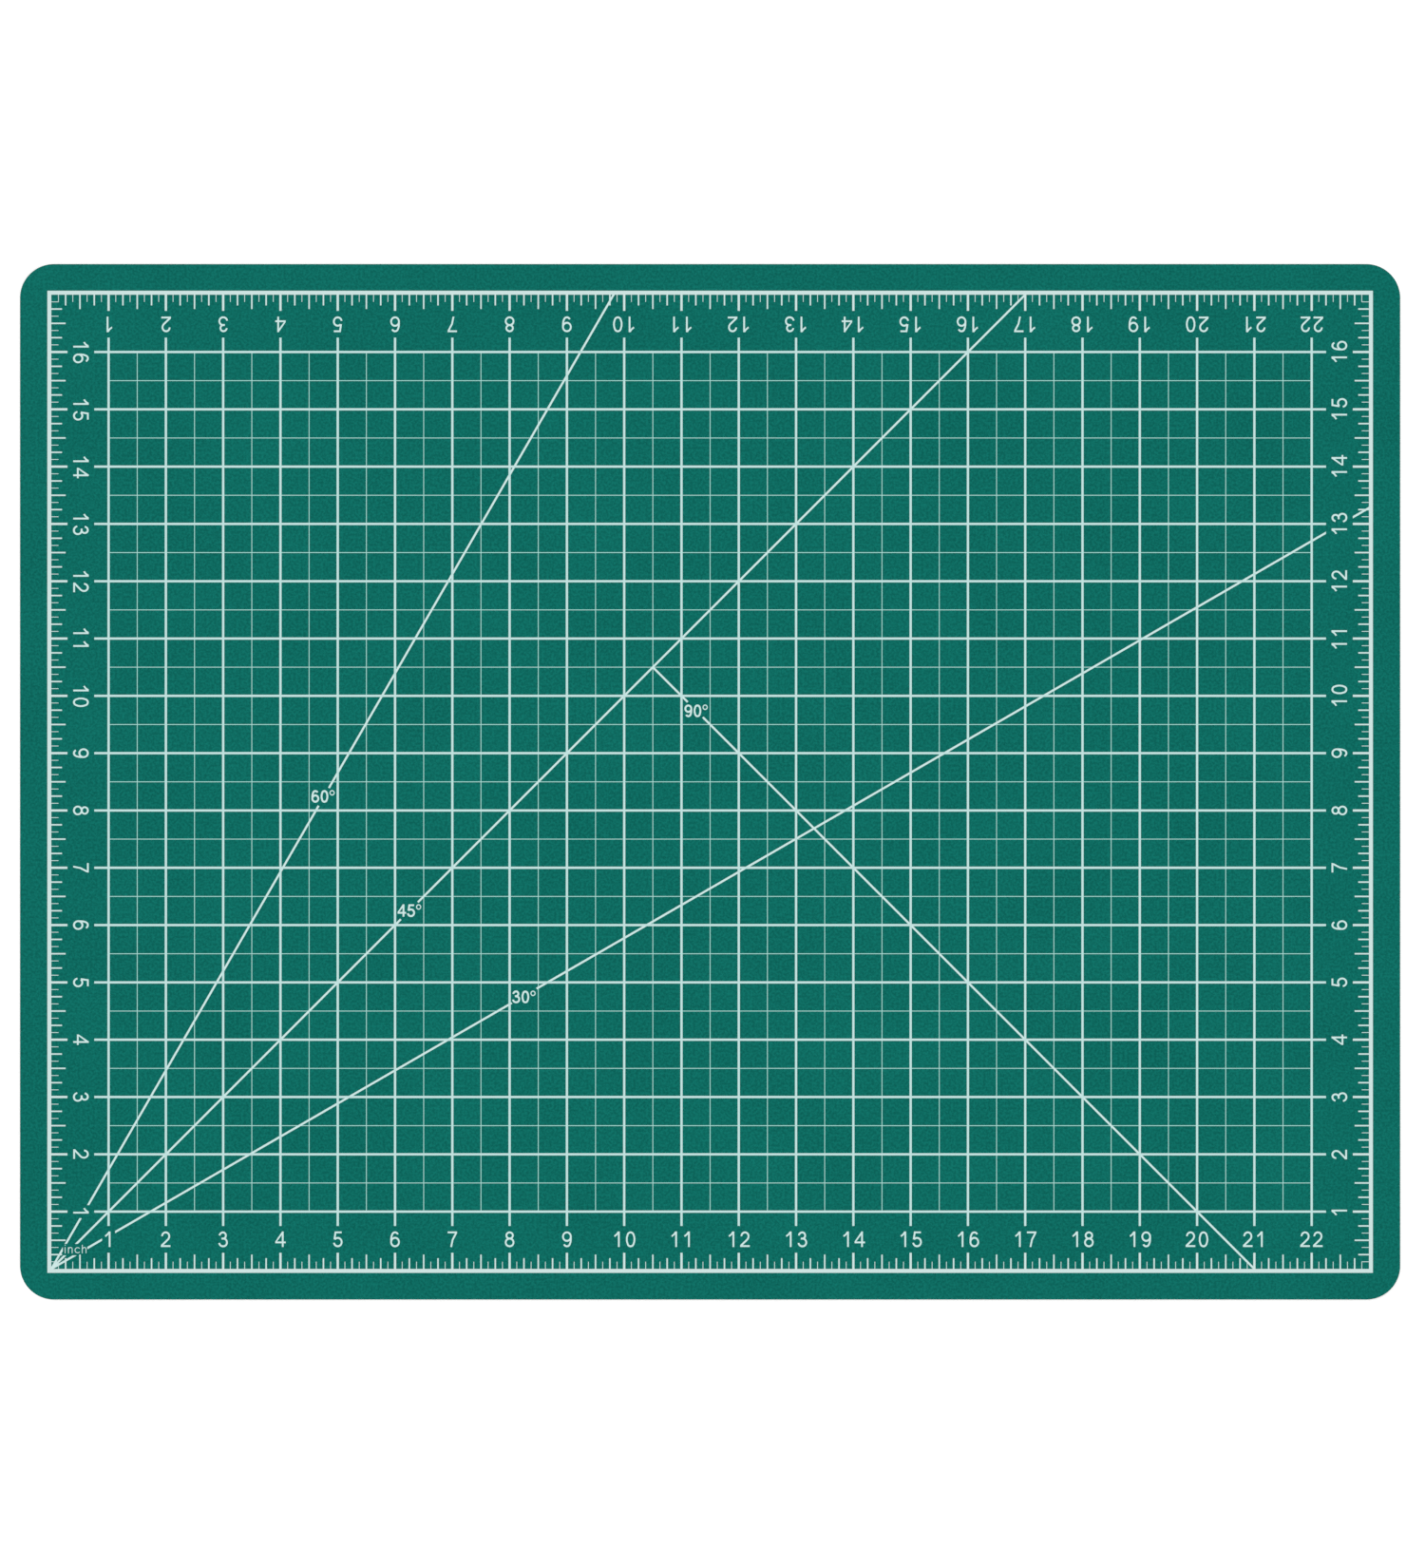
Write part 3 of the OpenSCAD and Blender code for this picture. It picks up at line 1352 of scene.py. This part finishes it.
@dataclass(frozen=True)
class Lamp:
    """A broad far lamp.

    Attributes:
        name: its name.
        azimuth: the direction that its light comes from, in degrees from +X.
        elevation: its height above the floor, in degrees.
        strength: its power on a surface that faces it.
        breadth: the angle that it fills, in degrees.
    """

    name: str
    azimuth: float
    elevation: float
    strength: float
    breadth: float

    def hang(self) -> None:
        """Puts the lamp in the scene."""
        light = bpy.data.lights.new(self.name, "SUN")
        light.energy = self.strength
        light.angle = math.radians(self.breadth)
        lamp = put_in_scene(self.name, light)
        turn, tilt = math.radians(self.azimuth), math.radians(self.elevation)
        towards = Vector((
            math.cos(turn) * math.cos(tilt), math.sin(turn) * math.cos(tilt), math.sin(tilt),
        ))
        lamp.rotation_euler = towards.to_track_quat("Z", "Y").to_euler()


def seen_directly(tree: bpy.types.NodeTree) -> Socket:
    """Tells what the camera, mirrors and glass see from what only gives light.

    Args:
        tree: the nodes of a material or of the world.

    Returns:
        A socket that is 1 on camera, glossy and transmission rays.
    """
    path = tree.nodes.new("ShaderNodeLightPath")
    seen = path.outputs["Is Camera Ray"]
    for ray in ("Is Glossy Ray", "Is Transmission Ray"):
        either = tree.nodes.new("ShaderNodeMath")
        either.operation = "MAXIMUM"
        tree.links.new(seen, either.inputs[0])
        tree.links.new(path.outputs[ray], either.inputs[1])
        seen = either.outputs["Value"]
    return seen


def split_strength(tree: bpy.types.NodeTree, as_light: float, as_seen: float) -> Socket:
    """Makes a strength that differs between what gives light and what is seen.

    Args:
        tree: the nodes of a material or of the world.
        as_light: the strength as light.
        as_seen: the strength as seen.

    Returns:
        The socket that gives the strength.
    """
    strength = tree.nodes.new("ShaderNodeMapRange")
    strength.inputs["To Min"].default_value = as_light
    strength.inputs["To Max"].default_value = as_seen
    tree.links.new(seen_directly(tree), strength.inputs["Value"])
    return strength.outputs["Result"]


@dataclass
class Studio:
    """A white floor, soft light and a camera straight above the mat.

    Attributes:
        image: the width and height of the photograph, in pixels.
        inch_px: the printed inch in the photograph, in pixels.
        middle_px: the middle of the mat in the photograph.
        lens: the camera's focal length, in millimetres.
        sensor: the longer side of its sensor, in millimetres.
        floor_size: the width of the floor.
        floor_gap: how far the floor is below the mat, so that the two faces don't mingle.
        floor_white: the floor's own lightness.
        floor_lift: what the floor adds where the camera sees it, so that it reaches white.
        floor_roughness: how dull the floor is.
        ambient: the strength of the even light from all round.
        LAMPS: the lamps.
    """

    image: Point = (1500.0, 1650.0)
    inch_px: float = 60.305
    middle_px: Point = (747.5, 822.7)
    lens: float = 100.0
    sensor: float = 36.0
    floor_size: float = 12.0
    floor_gap: float = 0.02 * MM
    floor_white: float = 0.85
    floor_lift: float = 0.36
    floor_roughness: float = 0.9
    ambient: float = 0.50

    LAMPS: ClassVar[tuple[Lamp, ...]] = (
        Lamp("key_lamp", azimuth=128.0, elevation=62.0, strength=1.05, breadth=34.0),
        Lamp("fill_lamp", azimuth=-40.0, elevation=52.0, strength=0.85, breadth=44.0),
    )

    def surround(self) -> None:
        """Makes an even white surround."""
        world = bpy.data.worlds.new("white_surround")
        world.use_nodes = True
        tree = world.node_tree
        background = tree.nodes["Background"]
        background.inputs["Color"].default_value = (1.0, 1.0, 1.0, 1.0)
        tree.links.new(split_strength(tree, self.ambient, 1.0), background.inputs["Strength"])
        bpy.context.scene.world = world

    def floor_finish(self) -> Material:
        """Makes the floor's matte white.

        Returns:
            The material.
        """
        shader = Shader("white_floor")
        inputs = shader.surface.inputs
        white = self.floor_white
        inputs["Base Color"].default_value = (white, white, white, 1.0)
        inputs["Roughness"].default_value = self.floor_roughness
        inputs["Specular IOR Level"].default_value = 0.0
        inputs["Emission Color"].default_value = (1.0, 1.0, 1.0, 1.0)
        shader.wire(split_strength(shader.tree, 0.0, self.floor_lift), inputs["Emission Strength"])
        return shader.material

    def floor(self) -> None:
        """Lays the floor under the mat."""
        shape = bmesh.new()
        bmesh.ops.create_grid(shape, x_segments=1, y_segments=1, size=self.floor_size / 2)
        height = CAD_BOX[0].z - self.floor_gap
        bmesh.ops.translate(shape, verts=shape.verts[:], vec=(0.0, 0.0, height))
        mesh = mesh_from(shape, "floor")
        mesh.materials.append(self.floor_finish())
        floor = put_in_scene("floor", mesh)

    def camera(self) -> None:
        """Hangs the camera over the mat so that the print is as large as in the photograph."""
        eye = bpy.data.cameras.new("overhead_camera")
        eye.lens = self.lens
        eye.sensor_width = self.sensor
        camera = put_in_scene("overhead_camera", eye)
        metres_per_px = INCH / self.inch_px
        distance = self.image[1] * metres_per_px * self.lens / self.sensor
        camera.location = (
            (self.image[0] / 2 - self.middle_px[0]) * metres_per_px,
            (self.middle_px[1] - self.image[1] / 2) * metres_per_px,
            CAD_BOX[1].z + distance,
        )
        bpy.context.scene.camera = camera

    def build(self) -> None:
        """Sets up the studio."""
        self.surround()
        self.floor()
        for lamp in self.LAMPS:
            lamp.hang()
        self.camera()
        bpy.context.scene.view_settings.view_transform = "Standard"


def main() -> None:
    """Dresses the mat and sets up the studio."""
    logging.basicConfig(level=logging.INFO, format="%(name)s: %(message)s")
    finishes = Finishes.mixed()
    Laminate(finishes).build()
    figures = Lettering(weight=0.12, tracking=0.10, breadth=0.935)
    bold = Lettering(weight=0.155)
    light = Lettering(weight=0.09, tracking=0.08, breadth=1.0)
    for face in Face:
        PrintedFace(face, finishes.inks[face], figures, bold, light).build()
    Studio().build()


if __name__ == "__main__":
    main()
